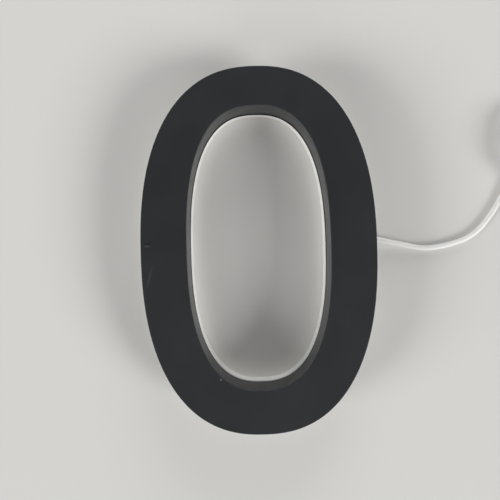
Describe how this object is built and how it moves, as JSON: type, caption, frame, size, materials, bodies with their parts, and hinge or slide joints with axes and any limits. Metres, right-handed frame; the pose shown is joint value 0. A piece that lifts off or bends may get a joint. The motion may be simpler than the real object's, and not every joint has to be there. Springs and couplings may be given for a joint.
{
  "type": "illuminated house number",
  "caption": "Backlit house number 0: black channel shell with bent returns on an opal acrylic back, lamp tape inside, and a thin white lead coiled beside it.",
  "frame": {"origin": "middle of the number's outline on its back face, which is the face that goes against the wall", "axes": "+Y to the top of the number, +X to its right seen from the front, +Z out of the front face"},
  "size_m": [0.2741, 0.2, 0.027],
  "materials": {
    "black_coat": "satin black baked enamel over steel sheet",
    "opal_acrylic": "opal white cast acrylic, sawn and polished edges",
    "foam": "closed-cell foam gasket",
    "zinc_steel": "bright zinc plated",
    "brass": "machined brass",
    "white_board": "white solder mask on flexible board",
    "led_resin": "white package with yellow phosphor gel",
    "resistor_black": "chip resistor with tinned ends",
    "red_pvc": "extruded PVC insulation",
    "black_pvc": "extruded or moulded PVC",
    "white_pvc": "smooth white PVC jacket",
    "white_rubber": "moulded white rubber",
    "nylon": "natural nylon",
    "grey_strap": "dark grey woven hook-and-loop strap",
    "nickel": "nickel plated"
  },
  "bodies": {
    "root": {"face_plate": "black_coat", "outer_return": "black_coat", "inner_return": "black_coat", "face_post_1": "zinc_steel", "face_post_2": "zinc_steel", "face_post_3": "zinc_steel", "face_post_4": "zinc_steel", "face_post_5": "zinc_steel", "face_post_6": "zinc_steel", "outer_seal": "foam", "inner_seal": "foam", "acrylic_back": "opal_acrylic", "back_screw_1": "zinc_steel", "back_screw_2": "zinc_steel", "back_screw_3": "zinc_steel", "back_screw_4": "zinc_steel", "back_screw_5": "zinc_steel", "back_screw_6": "zinc_steel", "wall_insert_1": "brass", "wall_insert_2": "brass", "wall_insert_3": "brass", "wall_insert_4": "brass", "led_tape": "white_board", "led_1": "led_resin", "led_2": "led_resin", "led_3": "led_resin", "led_4": "led_resin", "led_5": "led_resin", "led_6": "led_resin", "led_7": "led_resin", "led_8": "led_resin", "led_9": "led_resin", "led_10": "led_resin", "led_11": "led_resin", "led_12": "led_resin", "led_13": "led_resin", "led_14": "led_resin", "led_15": "led_resin", "tape_resistor_1": "resistor_black", "tape_resistor_2": "resistor_black", "tape_resistor_3": "resistor_black", "tape_resistor_4": "resistor_black", "tape_resistor_5": "resistor_black", "red_lead": "red_pvc", "black_lead": "black_pvc", "cord_inside": "white_pvc", "cord_stop": "nylon", "cord_grommet": "white_rubber", "cord_free": "white_pvc", "cord_coil": "white_pvc", "cord_tail": "white_pvc", "coil_strap": "grey_strap", "plug_body": "white_pvc", "plug_barrel": "nickel", "plug_core": "black_pvc"}
  },
  "joints": []
}
